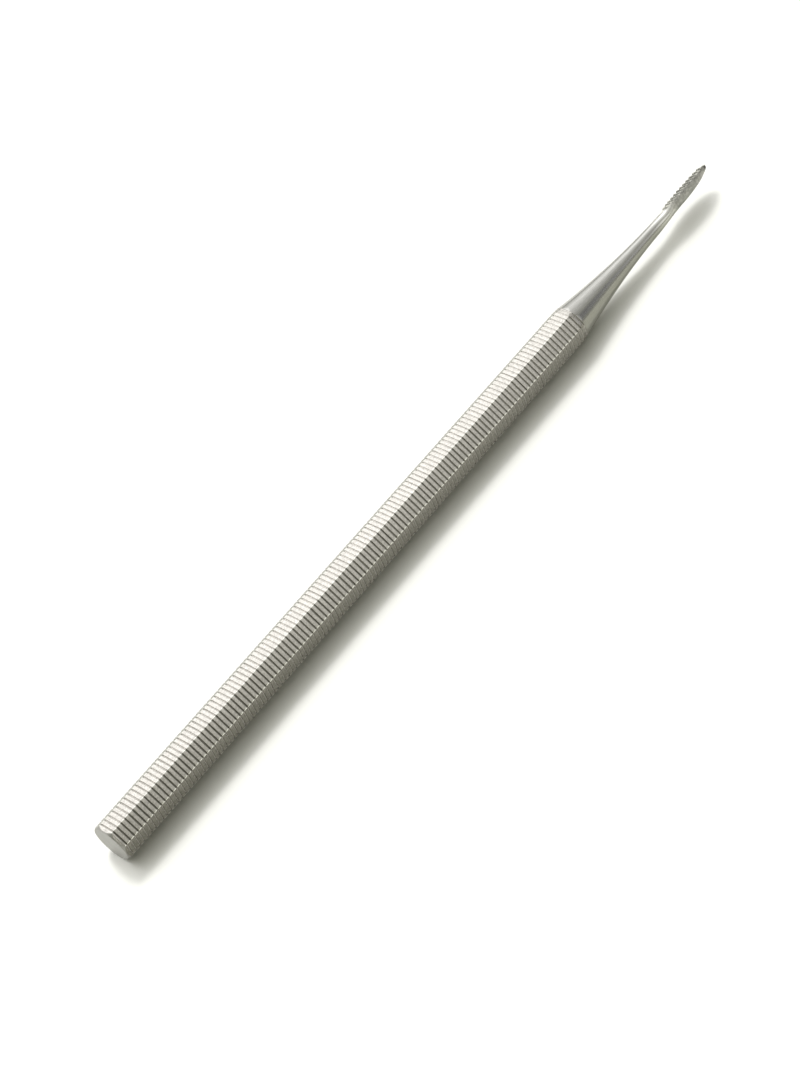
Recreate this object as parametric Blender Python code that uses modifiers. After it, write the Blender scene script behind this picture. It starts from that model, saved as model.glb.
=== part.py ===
"""Podiatry file: an octagonal grooved handle with a half-round file blade fixed in its nose.

Run it in Blender 4.5, from the text editor or with blender --background --python part.py.
The tool lies along X on one of its flats, tip towards +X, with the middle of its length over the origin.
Distances called "along" are measured from the handle's flat end face towards the tip.
"""
import math

import bmesh
import bpy

MM = 0.001

# Handle
ACROSS_FLATS = 6.0 * MM
FLATS = 8
GRIP_LENGTH = 103.3 * MM       # end face to where the taper starts to cut the corners
END_CHAMFER = 0.35 * MM        # turned edge of the end face, measured in from the corners
GROOVE_PITCH = 0.79 * MM
GROOVE_WIDTH = 0.28 * MM       # at the surface of a flat
GROOVE_FLOOR = 0.06 * MM
GROOVE_DEPTH = 0.13 * MM
FIRST_GROOVE = 0.80 * MM       # end face to the middle of the first groove
LAST_GROOVE_REACH = 1.2 * MM   # how far past the grip the taper still leaves a groove on the flats

# Taper from the grip down to the neck
TAPER_LENGTH = 24.7 * MM
TAPER_CURVE = 1.85             # 1 is a straight cone, more is a hollower one
NECK_DIAMETER = 2.02 * MM
NOSE_LENGTH = 6.7 * MM         # the start of the taper is turned on the handle, the rest on the working end

# Tang of the working end and its socket in the handle
TANG_DIAMETER = 2.4 * MM
TANG_LENGTH = 12.0 * MM
TANG_CHAMFER = 0.3 * MM
SEAT_GAP = 0.3 * MM            # round the tang, at its end and under the shoulder
DRILL_POINT_ANGLE = math.radians(118)

# File blade, with its length counted from the neck
BLADE_LENGTH = 12.0 * MM
BLADE_WIDTH = 3.2 * MM
BLADE_TILT = math.radians(39)  # turn of the toothed face from the handle's top flat, about the tool
LEAF_START = 2.4 * MM          # how far before the neck the round shank starts to spread into the blade
FACE_START = 0.2 * MM          # neck to where the ground face leaves the shank
FACE_LEVEL = 1.9 * MM          # neck to where the ground face is level
FULL_SECTION = 3.8 * MM        # neck to where the section is a full half-round
LEAF_NOSE = 6.6 * MM           # tip back to the widest place
LEAF_FULLNESS = 3.0            # how long the outline stays wide before it closes to the tip
LEAF_BLUNTNESS = 0.75          # how roundly it closes, 1 is the sharpest
TIP_WIDTH = 0.5 * MM
TIP_THICKNESS = 0.55 * MM
FACE_HEIGHT = 0.80 * MM        # bottoms of the first teeth above the tool's axis
FACE_RISE = 0.13 * MM          # how much higher they are at the tip
FACE_RUNOUT = 0.21 * MM        # how much higher the ground face starts, where it leaves the shank
BACK_RELIEF = 0.33 * MM        # how far the back comes in from the round shank to the full section
BACK_CURVE = 4.2               # how late the rounded back then rises to the tip
BODY_DROP = 0.10 * MM          # the widest place of the section lies this far under the tooth bottoms
TOOTH_PITCH = 0.80 * MM
TOOTH_DEPTH = 0.23 * MM
TOOTH_STEEP = 0.35             # share of the pitch under a tooth's steep side, which looks at the handle
FIRST_TOOTH = 2.2 * MM         # neck to the first crest
TIP_MARGIN = 0.9 * MM          # room kept between the last crest and the tip

# Smoothness of the solids
TURNED_STEPS = 48
TAPER_RINGS = 8
SHANK_RINGS = 10
LEAF_RINGS = 4
ROOT_RINGS = 6
TIP_RINGS = 5
BACK_STEPS = 18
FACE_STEPS = 4
ROUND_SHARE = 0.94             # part of a round section's height that its back points cover
MERGE = 0.001 * MM

# Worked out from the sizes above
LENGTH = GRIP_LENGTH + TAPER_LENGTH + BLADE_LENGTH
NECK = GRIP_LENGTH + TAPER_LENGTH
SEAM = GRIP_LENGTH + NOSE_LENGTH
FLAT_HALF_ANGLE = math.pi / FLATS
CORNER_RADIUS = ACROSS_FLATS / 2 / math.cos(FLAT_HALF_ANGLE)
NECK_RADIUS = NECK_DIAMETER / 2
TANG_RADIUS = TANG_DIAMETER / 2
SOCKET_RADIUS = TANG_RADIUS + SEAT_GAP
TURNING_SLACK = 0.05 * MM      # the turned outline passes this far outside the corners
LEAF_FROM = NECK - LEAF_START
LEAF_WIDEST = LENGTH - LEAF_NOSE
FACE_FROM = NECK + FACE_START
BLADE_FULL = NECK + FULL_SECTION
TIP_HEIGHT = FACE_HEIGHT + FACE_RISE - TIP_THICKNESS


def smoothstep(low, high, value):
    share = min(max((value - low) / (high - low), 0.0), 1.0)
    return share * share * (3 - 2 * share)


def new_object(name, mesh, collection):
    obj = bpy.data.objects.new(name, mesh)
    collection.objects.link(obj)
    obj.location = (-LENGTH / 2, 0, ACROSS_FLATS / 2)
    return obj


def turned(name, profile, steps, collection, first_angle=0.0):
    """A solid of revolution about the tool's axis, from (along, radius) pairs that start and end on the axis."""
    mesh = bpy.data.meshes.new(name)
    verts = []
    for along, radius in reversed(profile):
        verts.append((along, radius * math.sin(first_angle), radius * math.cos(first_angle)))
    edges = [(i, i + 1) for i in range(len(profile) - 1)]
    mesh.from_pydata(verts, edges, [])
    obj = new_object(name, mesh, collection)
    screw = obj.modifiers.new("Turn", "SCREW")
    screw.axis = "X"
    screw.angle = 2 * math.pi
    screw.steps = steps
    screw.render_steps = steps
    screw.use_merge_vertices = True
    screw.merge_threshold = MERGE
    screw.use_smooth_shade = False
    return obj


def as_cutter(obj):
    obj.hide_render = True
    obj.display_type = "WIRE"


def cut(obj, other, operation):
    boolean = obj.modifiers.new(operation.title(), "BOOLEAN")
    boolean.operation = operation
    boolean.solver = "EXACT"
    boolean.object = other


def steel(name, colour, roughness):
    material = bpy.data.materials.new(name)
    material.use_nodes = True
    shader = material.node_tree.nodes["Principled BSDF"]
    shader.inputs["Base Color"].default_value = (*colour, 1)
    shader.inputs["Metallic"].default_value = 1.0
    shader.inputs["Roughness"].default_value = roughness
    return material


def taper_radius(along):
    """Radius of the turned taper, which hollows from the grip's corners down to the neck."""
    left = max((NECK - along) / TAPER_LENGTH, 0.0)
    return NECK_RADIUS + (CORNER_RADIUS - NECK_RADIUS) * left ** TAPER_CURVE


def taper_start(radius):
    """Where the taper, carried on past the corners, reaches a radius."""
    left = ((radius - NECK_RADIUS) / (CORNER_RADIUS - NECK_RADIUS)) ** (1 / TAPER_CURVE)
    return NECK - TAPER_LENGTH * left


def groove_places():
    last = GRIP_LENGTH + LAST_GROOVE_REACH - GROOVE_WIDTH / 2
    count = int((last - FIRST_GROOVE) / GROOVE_PITCH) + 1
    return [FIRST_GROOVE + GROOVE_PITCH * i for i in range(count)]


def grooved_bar_profile():
    """Corner line of the octagonal bar, with each groove cut to the same depth on every flat."""
    land = CORNER_RADIUS
    floor = (ACROSS_FLATS / 2 - GROOVE_DEPTH) / math.cos(FLAT_HALF_ANGLE)
    # the bar starts before the end face and ends past the nose, and the turned outline cuts both off
    before_end = -END_CHAMFER
    past_nose = SEAM + NOSE_LENGTH
    profile = [(before_end, 0), (before_end, land)]
    for middle in groove_places():
        profile.append((middle - GROOVE_WIDTH / 2, land))
        profile.append((middle - GROOVE_FLOOR / 2, floor))
        profile.append((middle + GROOVE_FLOOR / 2, floor))
        profile.append((middle + GROOVE_WIDTH / 2, land))
    profile.append((past_nose, land))
    profile.append((past_nose, 0))
    return profile


def turned_outline_profile():
    """What the lathe leaves of the bar: the chamfered end face, and the start of the taper."""
    outside = CORNER_RADIUS + TURNING_SLACK
    face = CORNER_RADIUS - END_CHAMFER
    start = taper_start(outside)
    profile = [(0, 0), (0, face), (outside - face, outside)]
    for ring in range(TAPER_RINGS + 1):
        along = start + (SEAM - start) * ring / TAPER_RINGS
        profile.append((along, taper_radius(along)))
    profile.append((SEAM, 0))
    return profile


def socket_profile():
    """The drilled socket, from its point to well outside the nose."""
    bottom = SEAM - TANG_LENGTH - SEAT_GAP
    point = SOCKET_RADIUS / math.tan(DRILL_POINT_ANGLE / 2)
    outside = SEAM + NOSE_LENGTH
    return [(bottom - point, 0), (bottom, SOCKET_RADIUS), (outside, SOCKET_RADIUS), (outside, 0)]


def make_handle(parts, cutters, material):
    handle = turned("handle", grooved_bar_profile(), FLATS, parts, FLAT_HALF_ANGLE)
    outline = turned("turned_outline", turned_outline_profile(), TURNED_STEPS, cutters)
    socket = turned("tang_socket", socket_profile(), TURNED_STEPS, cutters)
    as_cutter(outline)
    as_cutter(socket)
    cut(handle, outline, "INTERSECT")
    cut(handle, socket, "DIFFERENCE")
    handle.data.materials.append(material)
    return handle


def half_width(along):
    """Half the blade's width: the shank's radius, spreading to the widest place and closing to the tip."""
    widest = BLADE_WIDTH / 2
    if along <= LEAF_WIDEST:
        return taper_radius(along) + (widest - NECK_RADIUS) * smoothstep(LEAF_FROM, LEAF_WIDEST, along)
    share = (along - LEAF_WIDEST) / LEAF_NOSE
    leaf = max(1 - share ** LEAF_FULLNESS, 0.0) ** LEAF_BLUNTNESS
    return TIP_WIDTH / 2 + (widest - TIP_WIDTH / 2) * leaf


def back_depth(along):
    """How far the rounded back lies under the tool's axis. At the tip it has risen above it."""
    waist = taper_radius(along) - BACK_RELIEF * smoothstep(LEAF_FROM, BLADE_FULL, along)
    share = max((along - FACE_FROM) / (LENGTH - FACE_FROM), 0.0)
    return waist - (NECK_RADIUS - BACK_RELIEF + TIP_HEIGHT) * share ** BACK_CURVE


def face_level(along):
    """Height of the tooth bottoms, which rise a little to the tip."""
    return FACE_HEIGHT + FACE_RISE * max(along - FACE_FROM, 0.0) / (LENGTH - FACE_FROM)


def section_centre(along):
    """Height of the section's widest place: on the axis in the shank, near the toothed face in the blade."""
    return (face_level(along) - BODY_DROP) * smoothstep(FACE_FROM, BLADE_FULL, along)


def face_height(along):
    """Height of the ground face without its teeth, or the top of the shank before the face starts."""
    if along < FACE_FROM:
        return taper_radius(along)
    share = min((along - FACE_FROM) / (FACE_LEVEL - FACE_START), 1.0)
    return face_level(along) + FACE_RUNOUT * (1 - share) ** 2


def section(along, top):
    """Points of one cross-section as (across, up) pairs.

    Above its widest place it is round like the shank, until the face cuts it at height top. Below, it reaches
    down to the back.
    """
    width = half_width(along)
    centre = section_centre(along)
    rise = taper_radius(along)
    depth = back_depth(along) + centre
    corner = math.asin(min((top - centre) / rise, ROUND_SHARE))
    points = []
    for i in range(BACK_STEPS + 1):
        angle = corner - (math.pi + 2 * corner) * i / BACK_STEPS
        height = rise if angle > 0 or angle < -math.pi else depth
        points.append((width * math.cos(angle), centre + height * math.sin(angle)))
    edge = width * math.cos(corner)
    for i in range(1, FACE_STEPS):
        across = -edge + 2 * edge * i / FACE_STEPS
        crown = centre + rise * math.sqrt(1 - (across / width) ** 2)
        points.append((across, min(crown, top)))
    return points


def tooth_crests():
    count = int((BLADE_LENGTH - FIRST_TOOTH - TIP_MARGIN) / TOOTH_PITCH) + 1
    return [NECK + FIRST_TOOTH + TOOTH_PITCH * i for i in range(count)]


def blade_stations():
    """Where the working end has cross-sections, and the height of its face at each, shoulder to tip."""
    shoulder = SEAM + SEAT_GAP
    crests = tooth_crests()
    first_root = crests[0] - TOOTH_STEEP * TOOTH_PITCH
    last_root = crests[-1] + (1 - TOOTH_STEEP) * TOOTH_PITCH
    stations = []
    for start, end, count in (
        (shoulder, LEAF_FROM, SHANK_RINGS), (LEAF_FROM, FACE_FROM, LEAF_RINGS), (FACE_FROM, first_root, ROOT_RINGS),
    ):
        for i in range(count):
            stations.append(start + (end - start) * i / count)
    rings = [(along, face_height(along)) for along in stations]
    for crest in crests:
        root = crest - TOOTH_STEEP * TOOTH_PITCH
        rings.append((root, face_level(root)))
        rings.append((crest, face_level(crest) + TOOTH_DEPTH))
    for i in range(TIP_RINGS):
        along = last_root + (LENGTH - last_root) * math.sin(math.pi / 2 * i / (TIP_RINGS - 1))
        rings.append((along, face_level(along)))
    return rings


def loft_mesh(name, rings):
    """One closed skin through the cross-sections, turned about the tool's axis by the blade's tilt."""
    bm = bmesh.new()
    loops = []
    for along, top in rings:
        loop = []
        for across, up in section(along, top):
            y = up * math.sin(BLADE_TILT) - across * math.cos(BLADE_TILT)
            z = up * math.cos(BLADE_TILT) + across * math.sin(BLADE_TILT)
            loop.append(bm.verts.new((along, y, z)))
        loops.append(loop)
    for near, far in zip(loops, loops[1:]):
        for i in range(len(near)):
            j = (i + 1) % len(near)
            bm.faces.new((near[i], near[j], far[j], far[i]))
    bm.faces.new(loops[0])
    bm.faces.new(loops[-1])
    bmesh.ops.recalc_face_normals(bm, faces=bm.faces)
    mesh = bpy.data.meshes.new(name)
    bm.to_mesh(mesh)
    bm.free()
    mesh.shade_smooth()
    mesh.set_sharp_from_angle(angle=math.radians(30))
    return mesh


def tang_profile():
    """The tang, from its chamfered end to a little way inside the shank that it belongs to."""
    end = SEAM - TANG_LENGTH
    inside = SEAM + SEAT_GAP + TANG_CHAMFER
    tip = TANG_RADIUS - TANG_CHAMFER
    return [(end, 0), (end, tip), (end + TANG_CHAMFER, TANG_RADIUS), (inside, TANG_RADIUS), (inside, 0)]


def make_working_end(parts, cutters, material):
    working_end = new_object("working_end", loft_mesh("working_end", blade_stations()), parts)
    tang = turned("tang", tang_profile(), TURNED_STEPS, cutters)
    as_cutter(tang)
    cut(working_end, tang, "UNION")
    working_end.data.materials.append(material)
    return working_end


def main():
    for obj in list(bpy.data.objects):
        bpy.data.objects.remove(obj, do_unlink=True)
    parts = bpy.data.collections.new("podiatry_file")
    cutters = bpy.data.collections.new("podiatry_file_cutters")
    bpy.context.scene.collection.children.link(parts)
    bpy.context.scene.collection.children.link(cutters)
    satin = steel("satin_stainless_steel", (0.50, 0.49, 0.46), 0.35)
    polished = steel("polished_stainless_steel", (0.55, 0.54, 0.50), 0.2)
    make_handle(parts, cutters, satin)
    make_working_end(parts, cutters, polished)


main()
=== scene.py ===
"""Looks of the podiatry file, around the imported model.

Lengths in this file are in millimetres and become metres in to_metres(). "Along" is the distance from the
handle's flat end face towards the tip. Each mesh is made of loops of points round the tool's axis.
"""
import math
import random

import bmesh
import bpy
from mathutils import Matrix, Vector

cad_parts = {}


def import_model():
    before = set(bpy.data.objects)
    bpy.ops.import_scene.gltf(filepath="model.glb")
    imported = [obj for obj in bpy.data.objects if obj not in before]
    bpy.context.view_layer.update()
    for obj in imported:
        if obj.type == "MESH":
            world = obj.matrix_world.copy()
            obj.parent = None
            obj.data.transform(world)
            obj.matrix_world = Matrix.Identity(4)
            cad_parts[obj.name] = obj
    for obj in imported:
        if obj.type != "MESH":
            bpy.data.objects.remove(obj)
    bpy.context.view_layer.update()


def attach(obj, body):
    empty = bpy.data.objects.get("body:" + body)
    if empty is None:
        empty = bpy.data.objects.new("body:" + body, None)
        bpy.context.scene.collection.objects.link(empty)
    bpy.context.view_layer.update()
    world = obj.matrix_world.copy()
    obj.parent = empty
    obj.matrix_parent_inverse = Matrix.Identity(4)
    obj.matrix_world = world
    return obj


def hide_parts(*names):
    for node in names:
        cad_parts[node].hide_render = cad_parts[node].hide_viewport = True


MM = 0.001

# Sizes of the handle
LENGTH = 140.0                 # of the whole tool
AXIS_HEIGHT = 3.0              # of the tool's axis over the floor
APOTHEM = 3.0                  # half the bar's width across its flats
FLATS = 8
HALF_FLAT = math.pi / FLATS    # half the angle that a flat spans
CORNER_RADIUS = APOTHEM / math.cos(HALF_FLAT)
RIDGE_RADIUS = 0.30            # rounding of the bar's eight long ridges
END_FACE_RADIUS = 2.92
END_RIM = ((0.0, -0.03), (0.008, -0.008), (0.03, 0.02))     # along, and radius less the end face's
END_CHAMFER = 0.46             # length of the end's turned edge at the corners
CHAMFER_LOOPS = (0.06, 0.10, 0.14, 0.18, 0.22, 0.26, 0.30, 0.34, 0.38, 0.42, 0.45)
GROOVE_PITCH = 0.79
GROOVE_COUNT = 132
GROOVE_DEPTH = 0.13
FIRST_GROOVE = 0.80
TAPER_START = 103.3
SEAM = 110.0                   # where the working end takes the taper over
SEAM_GAP = 0.006
SOCKET_RADIUS = 1.50
SOCKET_BOTTOM = 97.7
SOCKET_POINT = 96.8            # of the drilled cone below the bottom
SOCKET_POINT_RADIUS = 0.02

# Profile of one groove: distance from its middle, and depth
GROOVE_SHAPE = (
    (-0.150, 0.0), (-0.126, 0.008), (-0.102, 0.042), (-0.066, 0.096), (-0.030, 0.125),
    (0.030, 0.125), (0.066, 0.096), (0.102, 0.042), (0.126, 0.008), (0.150, 0.0),
)
# How far the grooves differ: out of place, and least and most of the width and depth above
GROOVE_WANDER = 0.008
GROOVE_WIDTHS = (0.94, 1.08)
GROOVE_DEPTHS = (0.92, 1.08)

# Sizes of the working end
NECK = 128.0
NECK_RADIUS = 1.01
TAPER_CURVE = 1.85
TANG_RADIUS = 1.20
TANG_END = 98.0
TANG_CHAMFER = 0.30
BLADE_TILT = math.radians(39)
LEAF_FROM = 125.6              # the round shank starts to spread
FACE_FROM = 128.2              # the ground face leaves the shank
FACE_LEVEL = 129.9             # and is flat from here on
BLADE_FULL = 131.8             # the section is a full half-round from here on
LEAF_WIDEST = 133.4
LEAF_FULLNESS = 3.0            # of the outline from the widest place to the tip
LEAF_BLUNTNESS = 0.75
BLADE_HALF_WIDTH = 1.60
TIP_HALF_WIDTH = 0.25
TIP_HEIGHT = 0.38              # of the tip's back over the axis
FACE_HEIGHT = 0.80             # of the toothed face over the axis
FACE_RISE = 0.13               # how much it rises to the tip
FACE_RUNOUT = 0.21             # how far it curves up where it leaves the shank
BODY_DROP = 0.10               # of the section's middle below the face
BACK_RELIEF = 0.33             # taken off the back where the blade starts
BACK_CURVE = 4.2               # how late the back rises to the tip
TOOTH_PITCH = 0.80
TOOTH_DEPTH = 0.23
TOOTH_DEPTHS = (0.94, 1.04)    # least and most share of it
TOOTH_STEEP = 0.35             # share of the pitch that the steep side takes
FIRST_CREST = 130.2
TOOTH_COUNT = 12
LAST_GULLET = 0.5              # painted shade in the bottom after the last tooth
SMOOTH_TIP = 0.3               # how much of the tooth bottoms' painted shade the face carries from there on
TIP_LOOPS = 6

# Points round the sections
RIDGE_POINTS = 8               # across each ridge, and across each eighth of a round section
BACK_POINTS = 40               # round the blade's back
FACE_POINTS = 24               # across its face
HIGHEST_CORNER = 0.94          # sine of the angle where the back meets the face, at most

# Distances between loops on the nose, and closer ones where the taper cuts the ridges away
NOSE_STEP = 0.12
LATE_NOSE = 106                # the steps are longer from here on
LATE_NOSE_STEP = 0.4
LAST_NOSE_STEP = 0.5           # at most, to the seam
CUT_RIDGES = (TAPER_START - 0.4, 104.6)
CUT_STEP = 0.06
CUT_GAP = 0.09                 # only wider gaps get loops between them

# Distances between loops from the seam to the first tooth
SHANK_STEP = 0.5
FACE_STEP = 0.15
FIRST_ROOT_GAP = 0.1           # at least, before the first tooth

# Marks on the grip. Rows of eight have a value for each flat, from the top one round the far side
GROOVE_SHADE = (0.15, 0.9, 0.0, 0.5, 0.5, 0.5, 0.0, 0.9)      # painted shade in the bottoms of the grooves, set per flat for how the light falls on it
SHADE_SPREAD = 0.24             # how much more of that painted shade there is at the flat end, and how much less at the nose
GROOVES_LESS_SHADED = (0.0, 0.0, 0.9, 0.0, 0.0, 0.0, 0.9, 0.0)    # how much less of the sides' painted shade the grooves carry
SHADE_THINNED = 0.15            # how much less painted shade there is at the nose than at the flat end
EDGE_SHADE = 0.31             # painted shade along the lower edges of the two flats that look up at 45 degrees, growing across each flat towards that edge
EDGE_SHADE_POINTS = (RIDGE_POINTS, RIDGE_POINTS * (FLATS - 1) - 1)
RIDGE_WORN = (2.95, 3.15)      # turned radius from which the ridges are left, and are worn bright
WORN_ENDS = (102.2, 103.3)     # where that wear runs out along the tool
WEAR_INTO_GROOVES = 3          # how fast it fades down their walls

# Marks on the blade. A pair is where along the tool a mark starts and where it is full
CUT_STARTS = (FACE_LEVEL - 0.4, FACE_LEVEL + 0.3)
CUT_ON_BACK = 0.4              # share of the cut face's mottle on the back
FIRST_GULLETS = 0.7            # how much painted shade the first tooth bottoms carry beside the rest
GULLETS_FULL = (131.0, 133.5)
GULLET_FADE = (0.45, 0.62)     # share of the face over which the painted shade in the tooth bottoms pales to its near edge, and the least left
TIP_STARTS = (138.6, 139.5)
TIP_DARK = 0.75
BLADE_LESS_SHADE = 0.72             # how much less painted shade the blade carries than the shank
LESS_SHADE_STARTS = (FACE_FROM - 4, BLADE_FULL)
BUFFED_STARTS = (124.0, 128.5)
BUFFED_ENDS = (130.0, 131.0)

SHARP_ANGLE = math.radians(32)     # sharper edges than this aren't shaded smooth
random.seed(7)


def to_metres(along, y, z):
    """A point of the tool, y and z from its axis, in the part's frame."""
    return Vector(((along - LENGTH / 2) * MM, y * MM, (z + AXIS_HEIGHT) * MM))


def loop_at(along, points):
    return [to_metres(along, y, z) for y, z in points]


def smoothstep(low, high, value):
    share = min(max((value - low) / (high - low), 0.0), 1.0)
    return share * share * (3 - 2 * share)


def taper_radius(along):
    left = max((NECK - along) / (NECK - TAPER_START), 0.0)
    return NECK_RADIUS + (CORNER_RADIUS - NECK_RADIUS) * left ** TAPER_CURVE


def bar_section(apothem, turned):
    """Points round a section of the bar: an octagon with rounded ridges, inside a turned radius.

    The points of each ridge spread over its rounding, or over the part that the turned radius cuts.
    """
    centre = (apothem - RIDGE_RADIUS) / math.cos(HALF_FLAT)
    tangent = (apothem - RIDGE_RADIUS) * math.tan(HALF_FLAT)
    ridge = HALF_FLAT - math.atan2(tangent, apothem)
    widest = HALF_FLAT * (RIDGE_POINTS - 1) / RIDGE_POINTS
    cut = widest
    if turned > apothem:
        cut = min(HALF_FLAT - math.acos(apothem / turned), widest)
    reach = max(ridge, cut)
    points = []
    for corner in range(FLATS):
        middle = HALF_FLAT * (2 * corner + 1)
        for k in range(RIDGE_POINTS):
            psi = reach * (2 * k / (RIDGE_POINTS - 1) - 1)
            if abs(psi) < ridge:
                inside = RIDGE_RADIUS ** 2 - (centre * math.sin(psi)) ** 2
                radius = centre * math.cos(psi) + math.sqrt(max(inside, 0.0))
            else:
                radius = apothem / math.cos(HALF_FLAT - abs(psi))
            radius = min(radius, turned)
            points.append((radius * math.sin(middle + psi), radius * math.cos(middle + psi)))
    return points


def skin(name, loops, slots, marks):
    """A closed mesh through loops of points.

    slots gives the number of the material slot for each band between two loops, or a list of numbers
    for the band's faces. marks gives named values for each point of each loop, which the materials read.
    """
    bm = bmesh.new()
    rings = [[bm.verts.new(point) for point in loop] for loop in loops]
    for band, (near, far) in enumerate(zip(rings, rings[1:])):
        for i in range(len(near)):
            j = (i + 1) % len(near)
            face = bm.faces.new((near[i], near[j], far[j], far[i]))
            face.material_index = slots[band][i] if isinstance(slots[band], list) else slots[band]
            face.smooth = True
    first = bm.faces.new(rings[0])
    last = bm.faces.new(rings[-1])
    first.material_index = slots[0]
    last.material_index = slots[-1]
    bmesh.ops.recalc_face_normals(bm, faces=bm.faces)
    mesh = bpy.data.meshes.new(name)
    bm.to_mesh(mesh)
    bm.free()
    for mark, values in marks.items():
        layer = mesh.attributes.new(mark, "FLOAT", "POINT")
        layer.data.foreach_set("value", values)
    mesh.set_sharp_from_angle(angle=SHARP_ANGLE)
    piece = bpy.data.objects.new(name, mesh)
    bpy.context.scene.collection.objects.link(piece)
    weigh = piece.modifiers.new("Even shading", "WEIGHTED_NORMAL")
    weigh.mode = "FACE_AREA"
    weigh.weight = 50
    weigh.keep_sharp = True
    return piece


GRIP, NOSE, END, HIDDEN = range(4)     # the handle's material slots


def handle_rings():
    """(along, apothem, turned radius, slot of the band that follows) from the end face to the seam.

    A turned radius of None is the taper's.
    """
    rings = []
    slope = (CORNER_RADIUS - END_FACE_RADIUS) / END_CHAMFER
    for along, wider in END_RIM:
        rings.append((along, APOTHEM, END_FACE_RADIUS + wider, END))
    for along in CHAMFER_LOOPS:
        rings.append((along, APOTHEM, END_FACE_RADIUS + slope * along, END))
    rings.append((END_CHAMFER + 0.01, APOTHEM, None, GRIP))
    for i in range(GROOVE_COUNT):
        middle = FIRST_GROOVE + GROOVE_PITCH * i + random.uniform(-GROOVE_WANDER, GROOVE_WANDER)
        wide = random.uniform(*GROOVE_WIDTHS)
        deep = random.uniform(*GROOVE_DEPTHS)
        for offset, depth in GROOVE_SHAPE:
            rings.append((middle + offset * wide, APOTHEM - depth * deep, None, GRIP))
    along = rings[-1][0]
    rings[-1] = (along, APOTHEM, None, NOSE)
    while along < SEAM - LAST_NOSE_STEP:
        along += NOSE_STEP if along < LATE_NOSE else LATE_NOSE_STEP
        rings.append((along, APOTHEM, None, NOSE))
    rings.append((SEAM, APOTHEM, None, NOSE))
    return rings


def refined(rings):
    """The same rings, and more between them where the taper cuts the ridges away."""
    fine = []
    for ring, after in zip(rings, rings[1:]):
        fine.append(ring)
        along, apothem, turned, slot = ring
        gap = after[0] - along
        if CUT_RIDGES[0] < along < CUT_RIDGES[1] and gap > CUT_GAP:
            steps = int(gap / CUT_STEP)
            for k in range(1, steps):
                share = k / steps
                fine.append((along + gap * share, apothem + (after[1] - apothem) * share, turned, slot))
    fine.append(rings[-1])
    return fine


def groove_bottom_shade(flat, along):
    """The painted shade in the bottoms of the grooves: more near the flat end than near the nose."""
    if GROOVE_SHADE[flat] == 0.0:
        return 0.0
    return max(GROOVE_SHADE[flat] + SHADE_SPREAD * (1 - 2 * along / TAPER_START), 0.0)


def grip_marks(along, apothem, turned, i):
    """What grip_steel() and tarnish() read at point i of a section."""
    on_ridge = 0 < i % RIDGE_POINTS < RIDGE_POINTS - 1
    flat = (i // RIDGE_POINTS + (0 if i % RIDGE_POINTS == 0 else 1)) % FLATS
    sunk = (APOTHEM - apothem) / GROOVE_DEPTH
    # painted shade along the lower edges of the two flats that look up at 45 degrees
    lower_edge_shade = EDGE_SHADE if i in EDGE_SHADE_POINTS and along < TAPER_START else 0.0
    if on_ridge:
        shown = smoothstep(*RIDGE_WORN, turned) * (1 - smoothstep(*WORN_ENDS, along))
        worn = shown * max(1 - WEAR_INTO_GROOVES * sunk, 0.0)
        # where the ridges are worn they carry less of the painted shade
        return {"ridge": worn, "groove": sunk, "less_shade": worn, "lower_edge_shade": lower_edge_shade}
    # the painted shade is thinner towards the nose and in the grooves of the upright flats
    thinned = SHADE_THINNED * min(along / TAPER_START, 1.0)
    less_shade = max(GROOVES_LESS_SHADED[flat] * sunk, thinned)
    return {"ridge": 0.0, "groove": groove_bottom_shade(flat, along) * sunk, "less_shade": less_shade, "lower_edge_shade": lower_edge_shade}


def build_handle():
    loops = []
    slots = []
    marks = {"ridge": [], "groove": [], "less_shade": [], "lower_edge_shade": []}
    for along, apothem, turned, slot in refined(handle_rings()):
        if turned is None:
            turned = taper_radius(along)
        points = bar_section(apothem, turned)
        loops.append(loop_at(along, points))
        if slot == END and turned > apothem:
            slot = [GRIP if i % RIDGE_POINTS == RIDGE_POINTS - 1 else END for i in range(len(points))]
        slots.append(slot)
        for i in range(len(points)):
            for mark, value in grip_marks(along, apothem, turned, i).items():
                marks[mark].append(value)
    socket = ((SEAM, SOCKET_RADIUS), (SOCKET_BOTTOM, SOCKET_RADIUS), (SOCKET_POINT, SOCKET_POINT_RADIUS))
    for along, radius in socket:
        points = bar_section(APOTHEM, radius)
        loops.append(loop_at(along, points))
        slots.append(HIDDEN)
        for values in marks.values():
            values.extend([0.0] * len(points))
    return skin("handle_body", loops, slots, marks)


def half_width(along):
    if along <= LEAF_WIDEST:
        spread = smoothstep(LEAF_FROM, LEAF_WIDEST, along)
        return taper_radius(along) + (BLADE_HALF_WIDTH - NECK_RADIUS) * spread
    share = min((along - LEAF_WIDEST) / (LENGTH - LEAF_WIDEST), 1.0)
    leaf = max(1 - share ** LEAF_FULLNESS, 0.0) ** LEAF_BLUNTNESS
    return TIP_HALF_WIDTH + (BLADE_HALF_WIDTH - TIP_HALF_WIDTH) * leaf


def back_depth(along):
    """How far the back lies below the axis. It rises over the axis at the tip."""
    waist = taper_radius(along) - BACK_RELIEF * smoothstep(LEAF_FROM, BLADE_FULL, along)
    share = max((along - FACE_FROM) / (LENGTH - FACE_FROM), 0.0)
    return waist - (NECK_RADIUS - BACK_RELIEF + TIP_HEIGHT) * share ** BACK_CURVE


def face_level(along):
    """Height of the toothed face, which rises a little to the tip."""
    return FACE_HEIGHT + FACE_RISE * max(along - FACE_FROM, 0.0) / (LENGTH - FACE_FROM)


def section_centre(along):
    return (face_level(along) - BODY_DROP) * smoothstep(FACE_FROM, BLADE_FULL, along)


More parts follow.
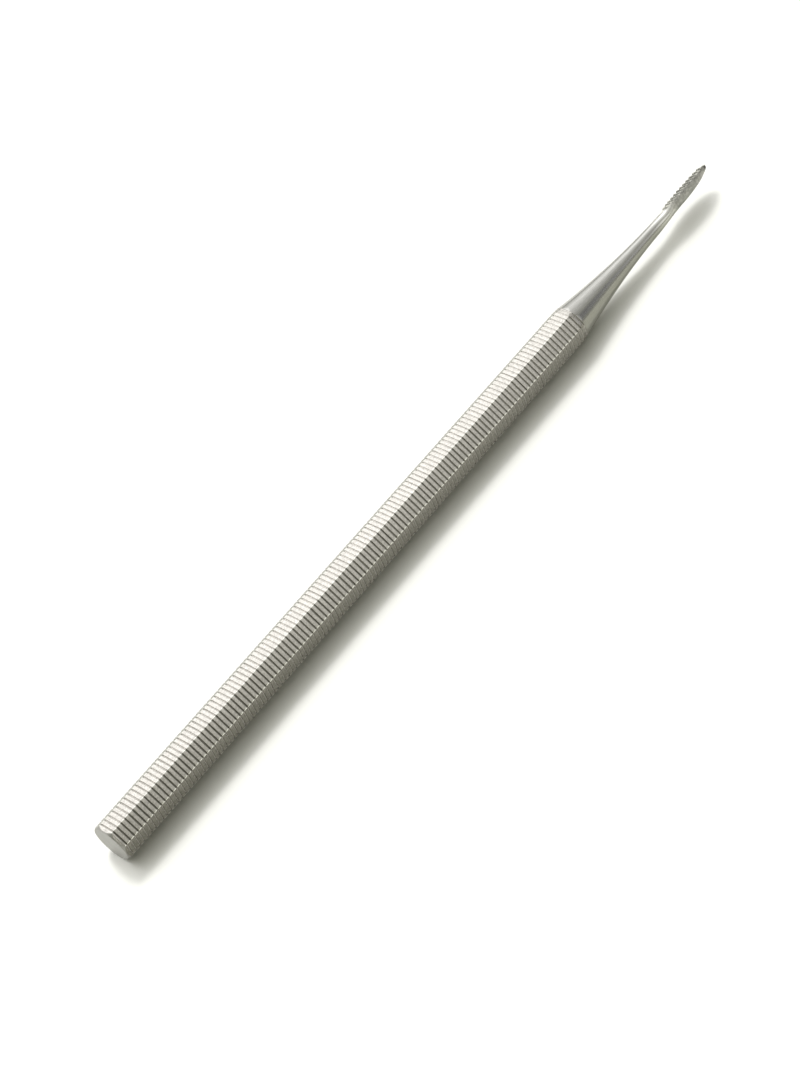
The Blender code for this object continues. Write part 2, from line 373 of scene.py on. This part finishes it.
def face_height(along):
    """Height of the face with its run-out to the shank."""
    if along < FACE_FROM:
        return taper_radius(along)
    share = min((along - FACE_FROM) / (FACE_LEVEL - FACE_FROM), 1.0)
    return face_level(along) + FACE_RUNOUT * (1 - share) ** 2


def tilted(points):
    """Points across and up from the axis, turned to the blade's tilt."""
    turned = []
    for across, up in points:
        y = up * math.sin(BLADE_TILT) - across * math.cos(BLADE_TILT)
        z = up * math.cos(BLADE_TILT) + across * math.sin(BLADE_TILT)
        turned.append((y, z))
    return turned


def blade_section(along, top):
    """Points round a section of the working end, the back first. Its face is at the height top."""
    width = half_width(along)
    centre = section_centre(along)
    rise = taper_radius(along)
    depth = back_depth(along) + centre
    corner = math.asin(min((top - centre) / rise, HIGHEST_CORNER))
    points = []
    for i in range(BACK_POINTS + 1):
        angle = corner - (math.pi + 2 * corner) * i / BACK_POINTS
        height = rise if angle > 0 or angle < -math.pi else depth
        points.append((width * math.cos(angle), centre + height * math.sin(angle)))
    edge = width * math.cos(corner)
    for i in range(1, FACE_POINTS):
        across = -edge + 2 * edge * i / FACE_POINTS
        crown = centre + rise * math.sqrt(max(1 - (across / width) ** 2, 0.0))
        points.append((across, min(crown, top)))
    return tilted(points)


def round_like_blade(radius):
    """A round section with as many points as the blade's, in the same places."""
    corner = math.asin(HIGHEST_CORNER)
    points = []
    for i in range(BACK_POINTS + 1):
        angle = corner - (math.pi + 2 * corner) * i / BACK_POINTS
        points.append((radius * math.cos(angle), radius * math.sin(angle)))
    edge = radius * math.cos(corner)
    for i in range(1, FACE_POINTS):
        across = -edge + 2 * edge * i / FACE_POINTS
        points.append((across, math.sqrt(radius * radius - across * across)))
    return tilted(points)


def blade_stations():
    """(along, face height, how deep between the teeth) from the shoulder to the tip."""
    stations = []
    along = SEAM + SEAM_GAP
    while along < FACE_FROM:
        stations.append((along, face_height(along), 0.0))
        along += SHANK_STEP
    along = FACE_FROM
    first_root = FIRST_CREST - TOOTH_STEEP * TOOTH_PITCH
    while along < first_root - FIRST_ROOT_GAP:
        stations.append((along, face_height(along), 0.0))
        along += FACE_STEP
    for i in range(TOOTH_COUNT):
        crest = FIRST_CREST + TOOTH_PITCH * i
        root = crest - TOOTH_STEEP * TOOTH_PITCH
        deep = TOOTH_DEPTH * random.uniform(*TOOTH_DEPTHS)
        # The tooth's steep side, its crest, and its long slope
        for place, height in (
            (root - 0.03, 0.010), (root + 0.02, 0.006), (crest - 0.03, deep - 0.02), (crest, deep),
            (crest + 0.04, deep - 0.02), ((crest + root + TOOTH_PITCH) / 2, deep * 0.48),
        ):
            stations.append((place, face_level(place) + height, 1 - height / deep))
    last_root = FIRST_CREST + TOOTH_PITCH * (TOOTH_COUNT - TOOTH_STEEP)
    stations.append((last_root, face_level(last_root), LAST_GULLET))
    for i in range(1, TIP_LOOPS + 1):
        along = last_root + (LENGTH - last_root) * math.sin(math.pi / 2 * i / TIP_LOOPS)
        stations.append((along, face_level(along), SMOOTH_TIP))
    return stations


def blade_marks(along, sunk, i):
    """What blade_steel() and tarnish() read at point i of a section."""
    on_face = i == 0 or i >= BACK_POINTS
    cut = smoothstep(*CUT_STARTS, along)
    # painted shade in the tooth bottoms
    dark = sunk * (FIRST_GULLETS + (1 - FIRST_GULLETS) * smoothstep(*GULLETS_FULL, along))
    across = (i - BACK_POINTS) / FACE_POINTS if i > 0 else 1.0
    fade = min(max((1 - across) / GULLET_FADE[0], GULLET_FADE[1]), 1.0)
    return {
        "filed": cut if on_face else CUT_ON_BACK * cut,
        "gullet_shade_and_dark_tip": dark * fade if on_face else TIP_DARK * smoothstep(*TIP_STARTS, along),
        "ground": smoothstep(FACE_FROM, BLADE_FULL, along),
        "buffed": smoothstep(*BUFFED_STARTS, along) * (1 - smoothstep(*BUFFED_ENDS, along)),
        # the blade carries less of the painted shade than the shank
        "less_shade": BLADE_LESS_SHADE * smoothstep(*LESS_SHADE_STARTS, along),
    }


def build_working_end():
    loops = []
    marks = {"filed": [], "gullet_shade_and_dark_tip": [], "ground": [], "buffed": [], "less_shade": []}
    tang = (
        (TANG_END, TANG_RADIUS - TANG_CHAMFER), (TANG_END + TANG_CHAMFER, TANG_RADIUS),
        (SEAM + SEAM_GAP, TANG_RADIUS),
    )
    for along, radius in tang:
        points = round_like_blade(radius)
        loops.append(loop_at(along, points))
        for values in marks.values():
            values.extend([0.0] * len(points))
    for along, top, sunk in blade_stations():
        points = blade_section(along, top)
        loops.append(loop_at(along, points))
        for i in range(len(points)):
            for mark, value in blade_marks(along, sunk, i).items():
                marks[mark].append(value)
    return skin("file_blade", loops, [0] * len(loops), marks)


# Colours
GRIP_COLOUR = (0.54, 0.52, 0.495, 1)
WORN_COLOUR = (0.86, 0.85, 0.81, 1)
# painted shade in the bottoms of the grooves
GROOVE_SHADE_COLOUR = (0.20, 0.195, 0.17, 1)
SHANK_COLOUR = (0.52, 0.515, 0.50, 1)
BUFFED_COLOUR = (0.72, 0.715, 0.69, 1)
END_COLOUR = (0.36, 0.355, 0.335, 1)
PAPER_COLOUR = (0.415, 0.415, 0.392, 1)
PAPER_SHEEN = (0.50, 0.50, 0.50, 1)
# and those that multiply the steel's
# the next two paint shade on the sides that look sideways or down, and on the grip's far side
GRIP_SHADE = (0.525, 0.525, 0.487, 1)
SHANK_SHADE = (0.70, 0.70, 0.635, 1)
MOTTLE = ((0.56, 0.56, 0.53, 1), (1.18, 1.18, 1.14, 1))
# painted shade in the bottoms between the teeth
TOOTH_BOTTOM_SHADE = (0.12, 0.12, 0.115, 1)


class Nodes:
    """Short calls for building a material's nodes."""

    def __init__(self, tree):
        self.tree = tree

    def add(self, kind, inputs=None, **settings):
        node = self.tree.nodes.new(kind)
        for key, value in settings.items():
            setattr(node, key, value)
        for key, value in (inputs or {}).items():
            if isinstance(value, bpy.types.NodeSocket):
                self.tree.links.new(value, node.inputs[key])
            else:
                node.inputs[key].default_value = value
        return node

    def link(self, source, target):
        self.tree.links.new(source, target)

    def mark(self, name):
        """The values that the mesh carries under a name."""
        return self.add("ShaderNodeAttribute", attribute_name=name).outputs["Fac"]

    def mix(self, share, first, second, blend="MIX"):
        """A colour between two others, or the first multiplied by the second, by share."""
        inputs = {0: share, 6: first, 7: second}
        return self.add("ShaderNodeMix", inputs, data_type="RGBA", blend_type=blend).outputs[2]

    def calculate(self, operation, first, second):
        return self.add("ShaderNodeMath", {0: first, 1: second}, operation=operation).outputs[0]

    def ramp(self, value, ends, results=(0.0, 1.0), **settings):
        """A value carried from one pair of ends to another, and held beyond them."""
        inputs = {
            "Value": value, "From Min": ends[0], "From Max": ends[1],
            "To Min": results[0], "To Max": results[1],
        }
        return self.add("ShaderNodeMapRange", inputs, **settings).outputs["Result"]


def steel(
    name, colour, roughness, rough_spread, grain_scale, grain_depth, grain_stretch=(1, 1, 1), contrast=0.15,
):
    """Steel with a grain in its colour, gloss and surface. The stretch is along X, Y and Z."""
    material = bpy.data.materials.new(name)
    material.use_nodes = True
    nodes = Nodes(material.node_tree)
    shader = material.node_tree.nodes["Principled BSDF"]
    shader.inputs["Metallic"].default_value = 1.0
    place = nodes.add("ShaderNodeTexCoord").outputs["Object"]
    stretched = nodes.add("ShaderNodeMapping", {"Vector": place, "Scale": grain_stretch}).outputs[0]
    inputs = {"Vector": stretched, "Scale": grain_scale, "Detail": 4.0, "Roughness": 0.6}
    grain = nodes.add("ShaderNodeTexNoise", inputs).outputs["Fac"]
    inputs = {"Vector": place, "Scale": 900.0, "Detail": 3.0, "Roughness": 0.5}
    clouds = nodes.add("ShaderNodeTexNoise", inputs).outputs["Fac"]
    dark = (*(c * (1 - contrast) for c in colour[:3]), 1)
    light = (*(min(c * (1 + contrast), 1.0) for c in colour[:3]), 1)
    nodes.link(nodes.mix(grain, dark, light), shader.inputs["Base Color"])
    spread = (roughness - rough_spread, roughness + rough_spread)
    nodes.link(nodes.ramp(clouds, (0.0, 1.0), spread), shader.inputs["Roughness"])
    bump = nodes.add("ShaderNodeBump", {"Height": grain, "Strength": 1.0, "Distance": grain_depth * MM})
    nodes.link(bump.outputs["Normal"], shader.inputs["Normal"])
    return material


def paint_shade(material, colour, on_grip=False):
    """Painted shade on the sides that look sideways or down, on the grip's far side and along the
    lower edges of its two flats that look up at 45 degrees.

    The colour multiplies the steel's. A mark on the mesh thins the painted shade on the worn ridges,
    in the grooves of the upright flats, towards the nose and on the blade.
    """
    nodes = Nodes(material.node_tree)
    shader = material.node_tree.nodes["Principled BSDF"]
    unshaded = shader.inputs["Base Color"].links[0].from_socket
    place = nodes.add("ShaderNodeTexCoord")
    normal = nodes.add("ShaderNodeSeparateXYZ", {0: place.outputs["Normal"]})
    # painted shade on the sides that look sideways or down
    shade_share = nodes.ramp(normal.outputs["Z"], (0.66, 0.40))
    if on_grip:
        # and painted shade on the grip's far side and along the lower edges of its two flats that look up at
        # 45 degrees
        far_side = nodes.ramp(normal.outputs["Y"], (0.50, 0.62))
        shade_share = nodes.calculate("MAXIMUM", shade_share, far_side)
        shade_share = nodes.calculate("MAXIMUM", shade_share, nodes.mark("lower_edge_shade"))
    left = nodes.calculate("SUBTRACT", 1.0, nodes.mark("less_shade"))
    shaded_colour = nodes.mix(nodes.calculate("MULTIPLY", shade_share, left), unshaded, colour, "MULTIPLY")
    nodes.link(shaded_colour, shader.inputs["Base Color"])


def shank_steel(name):
    """Polished steel with faint long scratches."""
    return steel(
        name, SHANK_COLOUR, roughness=0.22, rough_spread=0.04,
        grain_scale=5000.0, grain_depth=0.0015, grain_stretch=(0.12, 1, 1),
    )


def blade_steel(name):
    """The shank's steel, buffed before the teeth, and mottled and rougher where they are cut.

    It carries painted shade in the bottoms between the teeth, and is darker at the tip.
    """
    material = shank_steel(name)
    nodes = Nodes(material.node_tree)
    shader = material.node_tree.nodes["Principled BSDF"]
    plain = shader.inputs["Base Color"].links[0].from_socket
    rough = shader.inputs["Roughness"].links[0].from_socket
    bright = nodes.mix(nodes.mark("buffed"), plain, BUFFED_COLOUR)
    place = nodes.add("ShaderNodeTexCoord").outputs["Object"]
    spots = nodes.add("ShaderNodeTexNoise", {"Vector": place, "Scale": 2300.0, "Detail": 2.0}).outputs["Fac"]
    patchy = nodes.ramp(spots, (0.40, 0.60), interpolation_type="SMOOTHSTEP")
    mottle = nodes.mix(patchy, *MOTTLE)
    cut = nodes.mix(nodes.mark("filed"), bright, mottle, "MULTIPLY")
    # painted shade in the bottoms between the teeth, and a darker tip
    bottoms = nodes.ramp(nodes.mark("gullet_shade_and_dark_tip"), (0.2, 0.8), interpolation_type="SMOOTHSTEP")
    deep = nodes.mix(bottoms, cut, TOOTH_BOTTOM_SHADE, "MULTIPLY")
    nodes.link(deep, shader.inputs["Base Color"])
    rougher = nodes.ramp(nodes.mark("ground"), (0.0, 1.0), (0.0, 0.26))
    nodes.link(nodes.calculate("ADD", rough, rougher), shader.inputs["Roughness"])
    return material


def grip_steel(name):
    """Satin steel of the grip: fine grain, ridges worn bright, and painted shade in the bottoms of the
    grooves.
    """
    material = steel(
        name, GRIP_COLOUR, roughness=0.28, rough_spread=0.05,
        grain_scale=3800.0, grain_depth=0.012, contrast=0.60,
    )
    nodes = Nodes(material.node_tree)
    shader = material.node_tree.nodes["Principled BSDF"]
    plain = shader.inputs["Base Color"].links[0].from_socket
    rough = shader.inputs["Roughness"].links[0].from_socket
    ridge = nodes.mark("ridge")
    worn = nodes.mix(ridge, plain, WORN_COLOUR)
    # painted shade in the bottoms of the grooves
    bottoms = nodes.ramp(nodes.mark("groove"), (0.15, 0.9), (0.0, 0.85))
    nodes.link(nodes.mix(bottoms, worn, GROOVE_SHADE_COLOUR), shader.inputs["Base Color"])
    smoother = nodes.ramp(ridge, (0.0, 1.0), (1.0, 0.6))
    nodes.link(nodes.calculate("MULTIPLY", rough, smoother), shader.inputs["Roughness"])
    return material


def floor_material():
    """White paper. Its colour and the lamp together make it white in the photograph's view."""
    material = bpy.data.materials.new("paper")
    material.use_nodes = True
    nodes = Nodes(material.node_tree)
    material.node_tree.nodes.remove(material.node_tree.nodes["Principled BSDF"])
    output = material.node_tree.nodes["Material Output"]
    plain = nodes.add("ShaderNodeBsdfDiffuse", {"Color": PAPER_COLOUR})
    sheen = nodes.add("ShaderNodeBsdfGlossy", {"Color": PAPER_SHEEN, "Roughness": 0.5})
    both = nodes.add("ShaderNodeAddShader", {0: plain.outputs[0], 1: sheen.outputs[0]})
    nodes.link(both.outputs[0], output.inputs["Surface"])
    return material


LAMP_DIRECTION = Vector((0.337, 0.695, 0.965)).normalized()
LAMP_STRENGTH = 2.3
LAMP_ANGLE = math.radians(12)      # how wide the lamp looks from the tool, which softens the shadow

# The room's light by the angle from the middle of the lamp's glow: degrees, level, share of blue
GLOW = (33, 47)                    # azimuth from +Y towards +X, and elevation, in degrees
ROOM = (
    (0, 2.20, 0.98), (10, 2.05, 0.98), (17, 1.42, 0.97), (25, 1.02, 0.96), (40, 0.72, 0.95),
    (52, 0.54, 0.93), (63, 0.42, 0.88), (72, 0.30, 0.80), (80, 0.26, 0.76), (95, 0.25, 0.72),
    (180, 0.27, 0.70),
)
# Brighter and darker places in it: azimuth and elevation, the angles from there at which each starts
# and is full, the change of the level, and the share of that in the blue
PLACES = (
    ("pale wall behind the camera", 152, 37, 20, 6, 0.72, 1),
    ("its lower part", 150, 12, 24, 8, 0.32, 1),
    ("dark corner beside it", 130, 23, 18, 6, -0.12, 0.5),
    ("and below it", 134, 6, 14, 4, -0.10, 0.7),
    ("rest of the bright wall", -38, 33, 44, 20, 1.0, 1),
    ("dark room behind the table", 36, 0, 20, 6, -0.20, 1),
    ("bright room on the left", -135, 40, 35, 12, 0.42, 1),
)
DARKEST = (0.06, 0.06, 0.05)


def pointing(azimuth, elevation):
    a = math.radians(azimuth)
    e = math.radians(elevation)
    return Vector((math.cos(e) * math.sin(a), math.cos(e) * math.cos(a), math.sin(e)))


def world():
    """The room that the steel mirrors and that fills the shadows."""
    made = bpy.data.worlds.new("room")
    bpy.context.scene.world = made
    made.use_nodes = True
    nodes = Nodes(made.node_tree)
    background = made.node_tree.nodes["Background"]
    place = nodes.add("ShaderNodeTexCoord")

    def toward(azimuth, elevation):
        inputs = {0: place.outputs["Generated"], 1: pointing(azimuth, elevation)}
        return nodes.add("ShaderNodeVectorMath", inputs, operation="DOT_PRODUCT").outputs["Value"]

    angle = nodes.add("ShaderNodeMath", {0: toward(*GLOW)}, operation="ARCCOSINE").outputs[0]
    levels = nodes.add("ShaderNodeValToRGB", {"Fac": nodes.calculate("DIVIDE", angle, math.pi)})
    elements = levels.color_ramp.elements
    while len(elements) < len(ROOM):
        elements.new(0.5)
    for element, (degrees, level, blue) in zip(elements, ROOM):
        element.position = degrees / 180
        element.color = (level, level, level * blue, 1)
    total = levels.outputs["Color"]
    for name, azimuth, elevation, outer, inner, change, blue in PLACES:
        ends = (math.cos(math.radians(outer)), math.cos(math.radians(inner)))
        near = nodes.ramp(toward(azimuth, elevation), ends, interpolation_type="SMOOTHSTEP", label=name)
        inputs = {0: near, 1: (change, change, change * blue), 2: total}
        total = nodes.add("ShaderNodeVectorMath", inputs, operation="MULTIPLY_ADD").outputs["Vector"]
    least = nodes.add("ShaderNodeVectorMath", {0: total, 1: DARKEST}, operation="MAXIMUM")
    nodes.link(least.outputs["Vector"], background.inputs["Color"])
    background.inputs["Strength"].default_value = 1.0


def lamp():
    data = bpy.data.lights.new("key", "SUN")
    data.energy = LAMP_STRENGTH
    data.angle = LAMP_ANGLE
    key = bpy.data.objects.new("key", data)
    key.rotation_euler = LAMP_DIRECTION.to_track_quat("Z", "Y").to_euler()
    key.visible_glossy = False     # the room's glow is what the steel mirrors
    bpy.context.scene.collection.objects.link(key)


# The camera, fitted to the bar's edges and grooves in the photograph
CAMERA_PLACE = (-146.7, -218.0, 272.5)
CAMERA_FORWARD = (0.36970, 0.58126, -0.72488)
CAMERA_RIGHT = (0.61402, -0.73837, -0.27891)
CAMERA_LENS = 88.35


def camera():
    data = bpy.data.cameras.new("camera")
    data.sensor_width = 36.0
    data.lens = CAMERA_LENS
    data.clip_start = 0.01
    data.clip_end = 10.0
    seen = bpy.data.objects.new("camera", data)
    right = Vector(CAMERA_RIGHT).normalized()
    back = -Vector(CAMERA_FORWARD).normalized()
    up = back.cross(right).normalized()
    right = up.cross(back).normalized()
    turn = Matrix((right, up, back)).transposed().to_4x4()
    turn.translation = Vector(CAMERA_PLACE) * MM
    seen.matrix_world = turn
    bpy.context.scene.collection.objects.link(seen)
    bpy.context.scene.camera = seen


def floor():
    mesh = bpy.data.meshes.new("floor")
    side = 3.0                     # metres from the middle to each edge
    corners = [(-side, -side, 0), (side, -side, 0), (side, side, 0), (-side, side, 0)]
    mesh.from_pydata(corners, [], [(0, 1, 2, 3)])
    made = bpy.data.objects.new("floor", mesh)
    mesh.materials.append(floor_material())
    bpy.context.scene.collection.objects.link(made)


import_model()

satin = grip_steel("satin_steel")
polished = shank_steel("polished_steel")
filed = blade_steel("file_steel")
# painted shade on the steel's sides that look sideways or down
paint_shade(satin, GRIP_SHADE, on_grip=True)
paint_shade(polished, SHANK_SHADE)
paint_shade(filed, SHANK_SHADE)
machined = steel(
    "end_face_steel", END_COLOUR, roughness=0.42, rough_spread=0.06,
    grain_scale=7000.0, grain_depth=0.004,
)

handle = build_handle()
for material in (satin, polished, machined, polished):
    handle.data.materials.append(material)
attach(handle, "root")
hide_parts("handle")

working_end = build_working_end()
working_end.data.materials.append(filed)
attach(working_end, "root")
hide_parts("working_end")

floor()
world()
lamp()
camera()
bpy.context.scene.view_settings.view_transform = "Standard"
